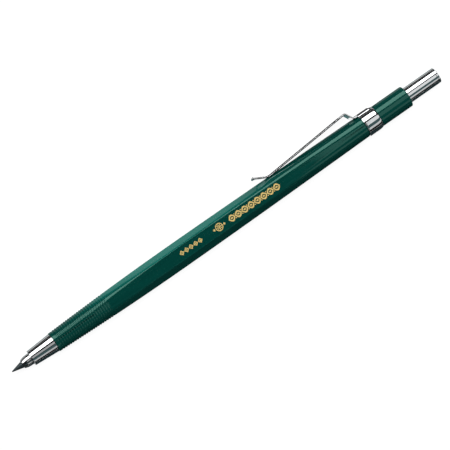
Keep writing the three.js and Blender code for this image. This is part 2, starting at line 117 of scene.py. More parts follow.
# Nose and clutch
NOSE_MOUTH = 1.95
NOSE_RIM = 2.39
NOSE_THROAT = 1.6
NOSE_THROAT_FRONT = 2.0
NOSE_THROAT_REAR = 2.4
NOSE_CHAMBER = 2.85
NOSE_REAR = 2.89
SHANK_RADIUS = 2.32
SHANK_BORE = 1.8
SHANK_END = 8.0
JAW_COUNT = 3
JAW_PHASE = math.radians(48)
JAW_SLOT = 0.3
JAW_BORE = 1.04
JAW_RELIEF = 1.12
JAW_GRIP_LENGTH = 5.2
FINGER_RADIUS = 1.35
NECK_SLOPE = 0.25
NECK_PLAY = 0.07
HEAD_RADIUS = 1.8
HEAD_DROP = 0.55
HEAD_LENGTH = 3.1
HEAD_EDGE = 0.05
HEAD_STEPS = 14
JAW_COLUMNS = 24
LEAD_TIP_RADIUS = 0.12
LEAD_WORN_RADIUS = 0.19
LEAD_WORN_LENGTH = 0.17
LEAD_CONE = 3.5

# Clip
RING_RADIUS = 3.59
RING_BORE = 3.18
RING_GAP = 0.08
RING_FRONT_LIP = 0.02
RING_FRONT_EDGE = (0.4, 0.14)  # length and drop
RING_REAR_EDGE = (1.5, 0.35)
RING_STEPS = 8
TAB_LENGTH = 3.9
TAB_SEAT = 3.42
TAB_LIP = 0.12
TAB_COLUMNS = 32
CLIP_SHEET = 0.38
CLIP_ROOT_WIDTH = 4.2
CLIP_TIP_WIDTH = 2.5
CLIP_FOOT_RADIUS = 3.64
CLIP_FOOT_LENGTH = 1.15
CLIP_RISE = 2.495
CLIP_LEAN = 1.3
CLIP_REACH = 31.3
CLIP_TIP_REACH = 3.8
CLIP_TIP_RISE = 2.0
CLIP_BENDS = (0.8, 0.6, 3.0)
CLIP_BEAD = 0.34
CLIP_CROWN = 0.28
CLIP_LIP = 0.06
CLIP_TOUCH_GAP = 0.06
CLIP_STEP = 0.6
BEAD_STEPS = 12

# Rear end
SLEEVE_BORE = 2.52
SLEEVE_PLUG_LENGTH = 10.3
SLEEVE_PLUG_WALL = 0.2
SLEEVE_FLOOR = 0.3
SLEEVE_ROUNDING = 0.7
GUIDE_BORE = 1.73
BUTTON_BORE = 1.99
TUBE_RADIUS = 1.65
TUBE_BORE = 1.2
BASE_BORE = 1.12
BASE_SPIGOT = 1.37
BASE_THREAD = 4.0
TUBE_SOCKET = 3.0
CAP_SPIGOT = 1.3
CAP_ROUNDING = 0.42
FERRULE_SLIT = 0.5
FERRULE_COLUMNS = 80
POINTER_MOUTH = 1.1
POINTER_OUTLET = 0.25
POINTER_SLOPE = math.tan(math.radians(13))
BLADE_THICKNESS = 0.25
BLADE_WIDTH = 0.5
BLADE_PROUD = 0.06
BLADE_BEVEL = 0.08
SPRING_TURNS = 9
SPRING_WIRE = 0.4
SPRING_COIL = 1.95
SPRING_END_GAP = 0.3
SPRING_AROUND = 12
SPRING_STEPS = 36

ROUND = 96  # columns round a turned piece

# ---------------------------------------------------------------- mesh helpers


def add_object(name, points, faces, finish, body, nodes=(), wear=None):
    """A smooth mesh piece in the row frame that rides on a body and stands for CAD nodes."""
    mesh = bpy.data.meshes.new(name)
    mesh.from_pydata(points, [], faces)
    if wear:
        layer = mesh.attributes.new("wear", "FLOAT", "POINT")
        layer.data.foreach_set("value", wear)
    bm = bmesh.new()
    bm.from_mesh(mesh)
    bmesh.ops.recalc_face_normals(bm, faces=bm.faces)
    bm.to_mesh(mesh)
    bm.free()
    mesh.shade_smooth()
    mesh.set_sharp_from_angle(angle=math.radians(38))
    mesh.materials.append(finish)
    piece = bpy.data.objects.new(name, mesh)
    bpy.context.scene.collection.objects.link(piece)
    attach(piece, body)
    if nodes:
        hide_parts(*nodes)
    return piece


def skin(rows, closed):
    """Points and faces through rings of equal length; a ring of one point is a pole."""
    points, starts, faces = [], [], []
    for row in rows:
        starts.append(len(points))
        points.extend(row)
    last = len(rows) if closed else len(rows) - 1
    for i in range(last):
        j = (i + 1) % len(rows)
        here, there = rows[i], rows[j]
        for k in range(max(len(here), len(there))):
            a, b = starts[i] + k, starts[i] + (k + 1) % len(here)
            c, d = starts[j] + (k + 1) % len(there), starts[j] + k
            if len(here) == 1:
                faces.append((starts[i], c, d))
            elif len(there) == 1:
                faces.append((a, b, starts[j]))
            else:
                faces.append((a, b, c, d))
    return points, faces


def rounded(corners, steps=4):
    """(station, radius, wear) along a profile whose corners are (station, radius, rounding)."""
    count = len(corners)
    line = []
    for i, (s, r, rounding) in enumerate(corners):
        here = Vector((s, r))
        back = Vector(corners[i - 1][:2]) - here
        ahead = Vector(corners[(i + 1) % count][:2]) - here
        if not rounding or r == 0:
            line.append((s, r, 0.0))
            continue
        half = back.angle(ahead) / 2
        run = min(rounding / math.tan(half), 0.45 * back.length, 0.45 * ahead.length)
        start, end = here + back.normalized() * run, here + ahead.normalized() * run
        radius = run * math.tan(half)
        centre = here + (back.normalized() + ahead.normalized()).normalized() * (radius / math.sin(half))
        ease = min(0.25 * run, 0.03)
        before, after = start + back.normalized() * ease, end + ahead.normalized() * ease
        line.append((before.x, before.y, 0.0))
        for k in range(steps + 1):
            point = centre + (start - centre).slerp(end - centre, k / steps) * radius
            line.append((point.x, point.y, math.sin(math.pi * k / steps)))
        line.append((after.x, after.y, 0.0))
    return line


def turned_rows(line, columns=ROUND):
    """Rings of points, and their wear, for a profile line of (station, radius, wear)."""
    rows, wear = [], []
    for station, radius, worn in line:
        turns = [2 * math.pi * k / columns for k in range(columns)] if radius > 0 else [0.0]
        rows.append([place(station, radius, turn) for turn in turns])
        wear.extend([worn] * len(turns))
    return rows, wear


def turned(name, corners, finish, body, nodes=(), steps=4):
    """A turned piece. Its corners close on themselves unless they start on the axis."""
    rows, wear = turned_rows(rounded(corners, steps))
    points, faces = skin(rows, closed=corners[0][1] > 0)
    return add_object(name, points, faces, finish, body, nodes, wear)


def sector(name, line, middle, half_turn, gap, columns, finish, body, nodes=()):
    """A turned piece that fills a share of the round, less half a parallel gap at each side."""
    rows, wear = [], []
    for station, radius, worn in line:
        edge = half_turn - math.asin(gap / 2 / radius)
        turns = [middle + edge * (2 * k / columns - 1) for k in range(columns + 1)]
        rows.append([place(station, radius, turn) for turn in turns])
        wear.extend([worn] * len(turns))
    points, width, count = [p for row in rows for p in row], columns + 1, len(rows)
    faces = []
    for i in range(count):
        j = (i + 1) % count
        for k in range(columns):
            faces.append((i * width + k, i * width + k + 1, j * width + k + 1, j * width + k))
    faces.append([i * width for i in range(count)])
    faces.append([i * width + columns for i in range(count)])
    return add_object(name, points, faces, finish, body, nodes, wear)


def tube_line(front, rear, inner, outer, edge):
    """Corners of a plain tube with one edge rounding."""
    return [(front, inner, edge), (front, outer, edge), (rear, outer, edge), (rear, inner, edge)]


# ---------------------------------------------------------------- node helpers


class Finish:
    """A node material with one Principled shader."""

    def __init__(self, name):
        self.material = bpy.data.materials.new(name)
        self.material.use_nodes = True
        self.tree = self.material.node_tree
        self.tree.nodes.clear()
        self.shader = self.add("ShaderNodeBsdfPrincipled")
        output = self.add("ShaderNodeOutputMaterial")
        self.tree.links.new(self.shader.outputs[0], output.inputs["Surface"])
        self.place = self.add("ShaderNodeTexCoord").outputs["Object"]

    def add(self, kind, settings=None, **inputs):
        node = self.tree.nodes.new(kind)
        for key, value in (settings or {}).items():
            setattr(node, key, value)
        for key, value in inputs.items():
            self.put(node.inputs[key.replace("_", " ")], value)
        return node

    def put(self, socket, value):
        if isinstance(value, bpy.types.NodeSocket):
            self.tree.links.new(value, socket)
        else:
            socket.default_value = value

    def set(self, **values):
        for key, value in values.items():
            self.put(self.shader.inputs[key.replace("_", " ")], value)

    def grain(self, size, detail=3.0, roughness=0.55):
        """Noise from 0 to 1 whose blotches measure size = (along, across, up) in millimetres."""
        stretch = tuple(1 / (s * MM) for s in size)
        mapping = self.add("ShaderNodeMapping", None, Vector=self.place, Scale=stretch)
        noise = self.add("ShaderNodeTexNoise", None, Vector=mapping.outputs[0], Scale=1.0, Detail=detail)
        noise.inputs["Roughness"].default_value = roughness
        return noise.outputs["Fac"]

    def between(self, factor, low, high, start=0.3, end=0.7):
        """factor's range start..end turned into low..high."""
        node = self.add("ShaderNodeMapRange", {"clamp": True}, Value=factor)
        for key, value in (("From Min", start), ("From Max", end), ("To Min", low), ("To Max", high)):
            node.inputs[key].default_value = value
        return node.outputs[0]

    def math(self, operation, a, b):
        node = self.add("ShaderNodeMath", {"operation": operation})
        self.put(node.inputs[0], a)
        self.put(node.inputs[1], b)
        return node.outputs[0]

    def blend(self, factor, a, b):
        node = self.add("ShaderNodeMix", {"data_type": "RGBA"})
        for index, value in ((0, factor), (6, a), (7, b)):
            self.put(node.inputs[index], value)
        return node.outputs[2]

    def wear(self):
        """1 on the worn edges of a piece, broken up by noise."""
        edge = self.add("ShaderNodeAttribute", {"attribute_name": "wear"}).outputs["Fac"]
        patchy = self.between(self.grain((0.8, 0.5, 0.5)), 0.0, 1.0, 0.4, 0.65)
        return self.math("MULTIPLY", edge, patchy)

    def bump(self, height, strength, depth):
        """Relief of a height map of 0 to 1; depth is in millimetres."""
        node = self.add("ShaderNodeBump", None, Height=height, Strength=strength, Distance=depth * MM)
        self.put(self.shader.inputs["Normal"], node.outputs[0])


# ---------------------------------------------------------------- materials


def green_plastic():
    """Deep green polished plastic with faint flow streaks, hairlines and brighter worn edges."""
    f = Finish("green_plastic")
    streaks = f.grain((9.0, 0.9, 0.9), 2.0)
    mottle = f.grain((1.6, 1.6, 1.6), 4.0)
    tone = f.blend(f.between(streaks, 0, 1), (0.0012, 0.062, 0.049, 1), (0.0016, 0.073, 0.058, 1))
    tone = f.blend(f.between(mottle, 0, 0.35), tone, (0.0010, 0.055, 0.046, 1))
    tone = f.blend(f.math("MULTIPLY", f.wear(), 0.45), tone, (0.010, 0.13, 0.108, 1))
    hairs = f.between(f.grain((14.0, 0.05, 0.05), 1.0), 0.0, 1.0, 0.66, 0.72)
    smudges = f.between(f.grain((4.0, 2.2, 2.2), 5.0), 0.04, 0.08)
    rough = f.math("ADD", smudges, f.math("MULTIPLY", hairs, 0.1))
    f.set(Base_Color=tone, Roughness=rough, IOR=1.62, Specular_Tint=(0.45, 1.0, 0.82, 1))
    fine = f.math("ADD", f.math("MULTIPLY", f.grain((0.5, 0.5, 0.5), 3.0), 0.5), hairs)
    f.bump(fine, 0.1, 0.003)
    return f.material


def chrome(name, tint, smooth, dull, marks):
    """Bright plated metal with turning marks and smudges; dull is the roughness of the smudges."""
    f = Finish(name)
    smudges = f.grain((2.2, 1.6, 1.6), 5.0)
    rings = f.grain((0.05, 6.0, 6.0), 2.0)
    shade = f.blend(f.between(smudges, 0, 1), (*tint, 1), (*(0.93 * c for c in tint), 1))
    shade = f.blend(f.math("MULTIPLY", f.wear(), 0.3), shade, (0.98, 0.98, 0.97, 1))
    rough = f.between(smudges, smooth, dull)
    rough = f.math("ADD", rough, f.math("MULTIPLY", f.between(rings, 0, 1, 0.5, 0.75), marks))
    f.set(Base_Color=shade, Metallic=1.0, Roughness=rough)
    f.bump(rings, 0.25 * marks / 0.05, 0.0012)
    return f.material


def coloured_metal(name, light, dark, low, high):
    """Turned metal with a mottled tarnish."""
    f = Finish(name)
    tarnish = f.grain((1.2, 1.0, 1.0), 6.0, 0.65)
    rings = f.grain((0.04, 5.0, 5.0), 2.0)
    shade = f.blend(f.between(tarnish, 0, 1, 0.35, 0.75), (*light, 1), (*dark, 1))
    shade = f.blend(f.math("MULTIPLY", f.wear(), 0.5), shade, (*(min(1, 1.25 * c) for c in light), 1))
    rough = f.math("ADD", f.between(tarnish, low, high), f.math("MULTIPLY", rings, 0.06))
    f.set(Base_Color=shade, Metallic=1.0, Roughness=rough)
    f.bump(rings, 0.4, 0.003)
    return f.material


def graphite():
    """Dark grey lead: a waxy sheen, fine pits, and rings left by sharpening."""
    f = Finish("graphite")
    pits = f.grain((0.12, 0.12, 0.12), 4.0, 0.7)
    patches = f.grain((0.9, 0.6, 0.6), 3.0)
    shade = f.blend(f.between(patches, 0, 1), (0.022, 0.034, 0.038, 1), (0.045, 0.064, 0.070, 1))
    shade = f.blend(f.between(pits, 0, 0.5, 0.55, 0.7), shade, (0.12, 0.13, 0.14, 1))
    rings = f.grain((0.05, 3.0, 3.0), 2.0)
    f.set(Base_Color=shade, Metallic=0.35, Roughness=f.between(pits, 0.3, 0.5))
    f.bump(f.math("ADD", pits, rings), 0.5, 0.006)
    return f.material


def gold_foil():
    """Hot-stamped gold foil with a slight grain and thin places."""
    f = Finish("gold_foil")
    worn = f.grain((0.25, 0.25, 0.25), 4.0, 0.6)
    shade = f.blend(f.between(worn, 0, 1, 0.35, 0.75), (1.0, 0.74, 0.26, 1), (0.86, 0.6, 0.2, 1))
    f.set(Base_Color=shade, Metallic=0.05, Roughness=f.between(worn, 0.35, 0.5))
    f.bump(worn, 0.3, 0.003)
    return f.material


GREEN = green_plastic()
CHROME = chrome("chrome", (0.86, 0.88, 0.89), 0.035, 0.085, 0.03)
COLLET_CHROME = chrome("collet_chrome", (0.80, 0.81, 0.82), 0.08, 0.16, 0.07)
BRASS = coloured_metal("brass", (0.72, 0.50, 0.20), (0.50, 0.33, 0.13), 0.22, 0.36)
SPRING_STEEL = coloured_metal("spring_steel", (0.56, 0.57, 0.58), (0.40, 0.40, 0.41), 0.2, 0.32)
BLADE_STEEL = coloured_metal("blade_steel", (0.66, 0.67, 0.69), (0.52, 0.53, 0.55), 0.12, 0.24)
GRAPHITE = graphite()
GOLD = gold_foil()

# ---------------------------------------------------------------- barrel


def barrel_radius(station, length):
    """Radius of the barrel's round form, before its flats."""
    if station < WAIST_STATION:
        share = (WAIST_STATION - station) / WAIST_STATION
        return WAIST_RADIUS - (WAIST_RADIUS - FRONT_RADIUS) * share**FRONT_TAPER_POWER
    share = (station - WAIST_STATION) / (length - WAIST_STATION)
    return WAIST_RADIUS - (WAIST_RADIUS - REAR_RADIUS) * share**REAR_TAPER_POWER


def soft_least(a, b, blend):
    """The smaller of two lengths, rounded over where they are nearly equal."""
    near = max(blend - abs(a - b), 0) / blend
    return min(a, b) - near * near * blend / 4


def flat_columns(round_radius):
    """Turns of the barrel's columns at a station: dense where the flats end."""
    ratio = min(FLAT_RADIUS / round_radius, math.cos(FLAT_LEAST_TURN))
    corner = FLAT_TURN / 2
    edge = min(math.acos(ratio), corner - 1.5 * BLEND_TURN)
    half = [0.35 * edge, 0.7 * edge] + [edge + BLEND_TURN * k for k in (-4, -3, -2, -1, 0, 1)]
    half += [edge + BLEND_TURN + (corner - edge - BLEND_TURN) * k / 4 for k in (1, 2, 3)]
    side = [-turn for turn in reversed(half)] + [0.0] + half + [corner]
    return [flat * FLAT_TURN + turn for flat in range(6) for turn in side]


def barrel_ring(station, radius, cut):
    """One ring of the barrel's outside; cut is how deep a grip ring's groove is there."""
    points, wear = [], []
    for turn in flat_columns(radius):
        off = (turn + FLAT_TURN / 2) % FLAT_TURN - FLAT_TURN / 2
        flat = FLAT_RADIUS / math.cos(off)
        points.append(place(station, soft_least(radius - cut, flat, FLAT_BLEND), turn))
        from_corner = abs(FLAT_TURN / 2 - abs(off))
        wear.append(max(0.0, 1 - from_corner / CORNER_WEAR_TURN) if radius > CORNER_WEAR_RADIUS else 0.0)
    return points, wear


def rib_cut(station):
    """Depth of the grip rings' grooves at a station; their crests stand proud of the taper."""
    phase = (station - RIB_START) / RIB_PITCH
    if not 0 <= phase <= RIB_COUNT:
        return 0.0
    wave = math.sin(math.pi * phase) ** 2
    fade = min(1, 2 * phase, 2 * (RIB_COUNT - phase))
    return RIB_DEPTH * (wave - RIB_PROUD * fade)


def barrel_stations(length):
    """Stations of the barrel's rings: close together at its ends and over the grip rings."""
    rib_end = RIB_START + RIB_COUNT * RIB_PITCH
    steps = RIB_COUNT * RIB_STEPS
    stations = [0.0, 0.03, 0.09, 0.15, 0.5]
    stations += [RIB_START + (rib_end - RIB_START) * k / steps for k in range(steps + 1)]
    stations += [rib_end + (length - rib_end) * k / BARREL_STEPS for k in range(1, BARREL_STEPS)]
    return stations + [length - BARREL_EDGE, length - BARREL_EDGE / 2, length - 0.02, length]


def barrel_outside(length):
    """The barrel's outer rings and their wear, with rounded ends."""
    rows, wear = [], []
    for station in barrel_stations(length):
        ease = min(station, length - station, BARREL_EDGE)
        drop = BARREL_EDGE - math.sqrt(max(0.0, BARREL_EDGE**2 - (BARREL_EDGE - ease) ** 2))
        ring, worn = barrel_ring(station, barrel_radius(station, length) - drop, rib_cut(station))
        rows.append(ring)
        wear.extend(worn)
    return rows, wear


def barrel():
    """The shell: its outside, the neck under the ring, the sleeve's socket and the bore."""
    start, end, _ = reach("barrel")
    length = reach("clip_arm")[1] - start
    rows, wear = barrel_outside(length)
    socket_floor = reach("rear_sleeve")[0] - SEAT
    inside = rounded(
        [
            (length, NECK_RADIUS, 0.0),
            (end, NECK_RADIUS, INNER_EDGE),
            (end, SOCKET_RADIUS, INNER_EDGE),
            (socket_floor, SOCKET_RADIUS, INNER_EDGE),
            (socket_floor, BARREL_BORE, INNER_EDGE),
            (0.0, BARREL_BORE, 0.0),
        ]
    )
    columns = flat_columns(FLAT_RADIUS)
    for station, radius, worn in inside:
        rows.append([place(station, radius, turn) for turn in columns])
        wear.extend([worn] * len(columns))
    points, faces = skin(rows, closed=True)
    add_object("barrel_shell", points, faces, GREEN, "casing", ["barrel"], wear)


# ---------------------------------------------------------------- nose and clutch


def nose_cone():
    """The cone, its mouth and throat, and the shank that screws into the barrel."""
    front = reach("nose_cone")[0]
    corners = [
        (front, NOSE_MOUTH, 0.06),
        (front, NOSE_RIM, 0.13),
        (-SEAT, NOSE_REAR, 0.06),
        (-SEAT, SHANK_RADIUS, 0.0),
        (SHANK_END, SHANK_RADIUS, 0.08),
        (SHANK_END, SHANK_BORE, 0.08),
        (front + NOSE_CHAMBER, SHANK_BORE, 0.0),
        (front + NOSE_THROAT_REAR, NOSE_THROAT, INNER_EDGE),
        (front + NOSE_THROAT_FRONT, NOSE_THROAT, INNER_EDGE),
    ]
    turned("nose_cone_shell", corners, CHROME, "casing", ["nose_cone"])


def head_line(front):
    """The rounded front of the clutch's head."""
    line = []
    for k in range(HEAD_STEPS + 1):
        share = 1 - k / HEAD_STEPS
        line.append((front + HEAD_LENGTH * (1 - share), HEAD_RADIUS - HEAD_DROP * share**3, 0.0))
    return line


def head_edge(front):
    """The rounded edge at the mouth of the clutch's head."""
    mouth = HEAD_RADIUS - HEAD_DROP
    turns = (math.pi / 2, math.pi / 4)
    edge = HEAD_EDGE
    return [(front + edge * (1 - math.sin(a)), mouth - edge * (1 - math.cos(a)), 1.0) for a in turns]


def clutch_jaws():
    """The three fingers that grip the lead, each with its third of the rounded head."""
    front = (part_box("clutch_jaw_1")[0].x - FRONT_X) / MM
    neck = reach("nose_cone")[0] + NOSE_THROAT_FRONT
    line = [
        (front, JAW_BORE, 0.0),
        *head_edge(front),
        *head_line(front)[1:],
        (neck, NOSE_THROAT - NECK_PLAY, 0.0),
        (neck + NECK_SLOPE, FINGER_RADIUS, 0.0),
        (SHANK_END - SEAT, FINGER_RADIUS, 0.0),
        (SHANK_END - SEAT, JAW_RELIEF, 0.0),
        (front + JAW_GRIP_LENGTH, JAW_RELIEF, 0.0),
        (front + JAW_GRIP_LENGTH, JAW_BORE, 0.0),
    ]
    share = math.pi / JAW_COUNT
    for i in range(JAW_COUNT):
        turn = JAW_PHASE + 2 * math.pi * i / JAW_COUNT
        jaw = f"clutch_jaw_{i + 1}"
        sector(f"{jaw}_finger", line, turn, share, JAW_SLOT, JAW_COLUMNS, COLLET_CHROME,
               f"jaw_{i + 1}", [jaw])


def lead():
    """The lead, sharpened to a slightly worn point."""
    front, rear, radius = reach("lead")
    corners = [
        (front, 0, 0),
        (front, LEAD_TIP_RADIUS, 0.05),
        (front + LEAD_WORN_LENGTH, LEAD_WORN_RADIUS, 0.08),
        (front + LEAD_CONE, radius, 0.35),
        (rear, radius, 0.08),
        (rear, 0, 0),
    ]
    turned("lead_stick", corners, GRAPHITE, "lead", ["lead"])


# ---------------------------------------------------------------- tube and spring


def collet_root():
    """The threaded root that joins the jaws to the tube."""
    front, rear, radius = reach("collet_base")
    spigot = front + BASE_THREAD
    corners = [
        (front, BASE_BORE, 0.04),
        (front, radius, 0.08),
        (spigot, radius, 0.04),
        (spigot, BASE_SPIGOT, 0.0),
        (rear, BASE_SPIGOT, 0.06),
        (rear, BASE_BORE, 0.04),
    ]
    turned("collet_root", corners, BRASS, "carriage", ["collet_base"])


def lead_tube():
    """The tube behind the collet, with the socket that its root goes into."""
    front, rear, radius = reach("lead_tube")
    socket = BASE_SPIGOT + PRESS
    corners = [
        (front, socket, 0.03),
        (front, radius, 0.06),
        (rear, radius, 0.12),
        (rear, TUBE_BORE, 0.12),
        (front + TUBE_SOCKET, TUBE_BORE, 0.0),
        (front + TUBE_SOCKET, socket, 0.0),
    ]
    turned("tube_body", corners, BRASS, "carriage", ["lead_tube"])


def spring_seats():
    """The collar on the tube and the washer on the nose's shank, at the spring's two ends."""
    front, rear, radius = reach("spring_collar")
    collar = tube_line(front, rear, TUBE_RADIUS + PRESS, radius, 0.1)
    turned("collar_crimp", collar, BRASS, "carriage", ["spring_collar"])
    front, rear, radius = reach("spring_washer")
    washer = tube_line(front, rear, SHANK_BORE, radius, 0.06)
    turned("washer_disc", washer, SPRING_STEEL, "casing", ["spring_washer"])


def coil_rows(start, end):
    """Rings of the wire along its helix."""
    steps = SPRING_TURNS * SPRING_STEPS
    wire = SPRING_WIRE / 2
    rows = []
    for i in range(steps + 1):
        share = i / steps
        turn = 2 * math.pi * SPRING_TURNS * share - math.pi / 2
        row = []
        for k in range(SPRING_AROUND):
            tilt = 2 * math.pi * k / SPRING_AROUND
            station = start + (end - start) * share + wire * math.sin(tilt)
            row.append(place(station, SPRING_COIL + wire * math.cos(tilt), turn))
        rows.append(row)
    return rows


def return_spring():
    """A coil between the washer and the collar, built at one length; on the pencil it shortens as the
    button is pressed.
    """
    front, rear = reach("spring_washer")[1], reach("spring_collar")[0]
    points, faces = skin(coil_rows(front + SPRING_END_GAP, rear - SPRING_END_GAP), closed=False)
    faces.append(list(range(SPRING_AROUND)))
    faces.append([len(points) - 1 - k for k in range(SPRING_AROUND)])
    spring = add_object("spring_coil", points, faces, SPRING_STEEL, "casing", ["return_spring"])
    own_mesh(spring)


def ferrule():
    """The split clip on the tube's end that holds the button."""
    front, rear, radius = reach("tube_ferrule")
    line = rounded(tube_line(front, rear, TUBE_RADIUS + PRESS, radius, 0.06), 3)
    sector("ferrule_clip", line, 0.0, math.pi, FERRULE_SLIT, FERRULE_COLUMNS, BRASS,
           "carriage", ["tube_ferrule"])


def blade_outline(station, inner, side):
    """Five points round a blade, whose cutting edge faces the axis."""
    low, high, half = inner - BLADE_PROUD, inner + BLADE_WIDTH, BLADE_THICKNESS / 2
    flank = low + BLADE_BEVEL
    outline = ((low, 0.0), (flank, half), (high, half), (high, -half), (flank, -half))
    return [place(station, radius, side) + Vector((0, 0, offset * MM)) for radius, offset in outline]


def pointer_blade(number, front, depth):
    """One cutting blade along the slope of the pointer's hole."""
    side = math.pi / 2 if number == 1 else -math.pi / 2
    rows = [blade_outline(front, POINTER_MOUTH, side), blade_outline(front + depth, POINTER_OUTLET, side)]
    points, faces = skin(rows, closed=False)
    faces += [list(range(5)), [9 - k for k in range(5)]]
    blade = f"pointer_blade_{number}"
    add_object(f"pointer_edge_{number}", points, faces, BLADE_STEEL, "button", [blade])


def pointer():
    """The lead pointer in the button: a core with a tapered hole, and two blades."""
    front, rear, radius = reach("pointer_insert")
    depth = (POINTER_MOUTH - POINTER_OUTLET) / POINTER_SLOPE
    corners = [
        (front, POINTER_MOUTH, 0.06),
        (front, radius, 0.1),
        (rear, radius, 0.08),
        (rear, POINTER_OUTLET, 0.03),
        (front + depth, POINTER_OUTLET, 0.0),
    ]
    turned("pointer_core", corners, BRASS, "button", ["pointer_insert"])
    for number in (1, 2):
        pointer_blade(number, front, depth)


# ---------------------------------------------------------------- clip


def clip_ring():
    """The band, with a small rounding at its front edge and a long one at its rear edge."""
    front, rear, _ = reach("clip_ring")
    front += RING_GAP
    length, fall = RING_FRONT_EDGE
    line = [
        (front, RING_BORE, 0.0),
        (front, RING_RADIUS - fall - 3 * RING_FRONT_LIP, 0.0),
        (front + RING_FRONT_LIP, RING_RADIUS - fall - RING_FRONT_LIP, 0.6),
    ]
    for k in range(1, RING_STEPS + 1):
        angle = math.pi / 2 * k / RING_STEPS
        station = front + length * (1 - math.cos(angle)) + RING_FRONT_LIP
        line.append((station, RING_RADIUS - fall * (1 - math.sin(angle)), 0.0))
    length, fall = RING_REAR_EDGE
    for k in range(RING_STEPS + 1):
        angle = math.pi / 2 * (1 - k / RING_STEPS)
        worn = 0.6 if k == RING_STEPS else 0.0
        station = rear - length * (1 - math.cos(angle))
        line.append((station, RING_RADIUS - fall * (1 - math.sin(angle)), worn))
    line.append((rear, RING_BORE, 0.0))
    rows, wear = turned_rows(line)
    points, faces = skin(rows, closed=True)
    add_object("clip_ring_band", points, faces, CHROME, "casing", ["clip_ring"], wear)


def tab_profile():
    """The tab's outline along the pencil, as (station, radius), with bevelled edges."""
    front = reach("clip_ring")[0]
    rear, outer = front + TAB_LENGTH, CLIP_FOOT_RADIUS + CLIP_SHEET / 2
    lip, nip = TAB_LIP, TAB_LIP * 0.3
    return [
        (front, TAB_SEAT),
        (front, outer - lip),
        (front + nip, outer - nip),
        (front + lip, outer),
        (rear - lip, outer),
        (rear - nip, outer - nip),
        (rear, outer - lip),
        (rear, TAB_SEAT),
    ]


def clip_tab():
    """The saddle on the ring that the arm springs from."""
    half = CLIP_ROOT_WIDTH / 2
    profile = tab_profile()
    rows = []
    for k in range(TAB_COLUMNS + 1):
        z = half * (2 * k / TAB_COLUMNS - 1)
        edge = max(0.0, abs(z) - (half - TAB_LIP)) / TAB_LIP
        sink = TAB_LIP * (1 - math.sqrt(max(0.0, 1 - edge * edge)))
        row = []
        for station, radius in profile:
            r = max(TAB_SEAT, radius - sink)
            row.append(place(station, r, math.pi / 2 - math.asin(z / r)))
        rows.append(row)
    points, faces = skin(rows, closed=False)
    count = len(profile)
    faces += [list(range(count)), [len(points) - 1 - k for k in range(count)]]
    add_object("clip_ring_tab", points, faces, CHROME, "casing", ())


def arc_line(corners, bends, steps):
    """Points along a line of corners whose inner corners are arcs of the given radii."""
    line = [corners[0]]
    for i in range(1, len(corners) - 1):
        here = corners[i]
        back, ahead = (corners[i - 1] - here).normalized(), (corners[i + 1] - here).normalized()
        half = back.angle(ahead) / 2
        centre = here + (back + ahead).normalized() * (bends[i - 1] / math.sin(half))
        start = here + back * (bends[i - 1] / math.tan(half)) - centre
        end = here + ahead * (bends[i - 1] / math.tan(half)) - centre
        line += [centre + start.slerp(end, k / steps) * bends[i - 1] for k in range(steps + 1)]
    line.append(corners[-1])
    return line


def clip_line():
    """The middle of the clip's sheet, as (station, radius), from its foot to its tip."""
    foot = reach("clip_arm")[1]
    riser = foot - CLIP_FOOT_LENGTH
    crest = Vector((riser - CLIP_LEAN, CLIP_FOOT_RADIUS + CLIP_RISE))
    touch_station = foot - CLIP_REACH
    clear = barrel_radius(touch_station, foot) + CLIP_TOUCH_GAP + CLIP_SHEET / 2
    arm = math.atan2(crest.y - clear, crest.x - touch_station)
    tip_slope = math.atan2(CLIP_TIP_RISE, CLIP_TIP_REACH)
    sunk = CLIP_BENDS[2] * (1 / math.cos((arm + tip_slope) / 2) - 1)
    touch = Vector((touch_station, clear - sunk))
    tip = touch + Vector((-CLIP_TIP_REACH, CLIP_TIP_RISE))
    corners = [Vector((foot, CLIP_FOOT_RADIUS)), Vector((riser, CLIP_FOOT_RADIUS)), crest, touch, tip]
    return arc_line(corners, CLIP_BENDS, 10), crest, tip


def evenly(line, step, bead):
    """Points along a line at most a step apart, and closer over the bead at its end."""
    out = []
    for a, b in zip(line, line[1:]):
        parts = max(1, math.ceil((b - a).length / step))
        out += [a.lerp(b, k / parts) for k in range(parts)]
    along = (line[-1] - line[-2]).normalized()
    start = line[-1] - along * bead
    out = [p for p in out if (p - start).dot(along) < 0 or (p - line[-1]).length > 2 * bead]
    turns = [math.pi * k / BEAD_STEPS for k in range(BEAD_STEPS + 1)]
    return out + [start + along * (bead * (1 - math.cos(turn))) for turn in turns]


def sheet_ring(half_width, half_thickness):
    """Outline of the sheet's section as (across, out), rounded at its edges and crowned."""
    lip = min(CLIP_LIP, 0.8 * half_thickness)
    ring = []
    for corner, (sx, sy) in enumerate(((1, 1), (-1, 1), (-1, -1), (1, -1))):
        for k in range(5):
            angle = math.pi / 2 * (corner + k / 4)
            ring.append((sx * (half_width - lip) + lip * math.cos(angle),
                         sy * (half_thickness - lip) + lip * math.sin(angle)))
        if corner in (0, 2):
            ends = (half_width - lip) * sx, -(half_width - lip) * sx
            ring += [(ends[0] + (ends[1] - ends[0]) * k / 6, sy * half_thickness) for k in range(1, 6)]
    return [(a, b - CLIP_CROWN * (a / half_width) ** 2) for a, b in ring]


def sheet_half_thickness(left):
    """Half the sheet's thickness at a distance from its tip, where it ends in a round bead."""
    bead = 0.0
    if left < 2 * CLIP_BEAD:
        bead = math.sqrt(max(0.0, CLIP_BEAD**2 - (CLIP_BEAD - left) ** 2))
    return max(bead, CLIP_SHEET / 2 if left > CLIP_BEAD else 0.04)


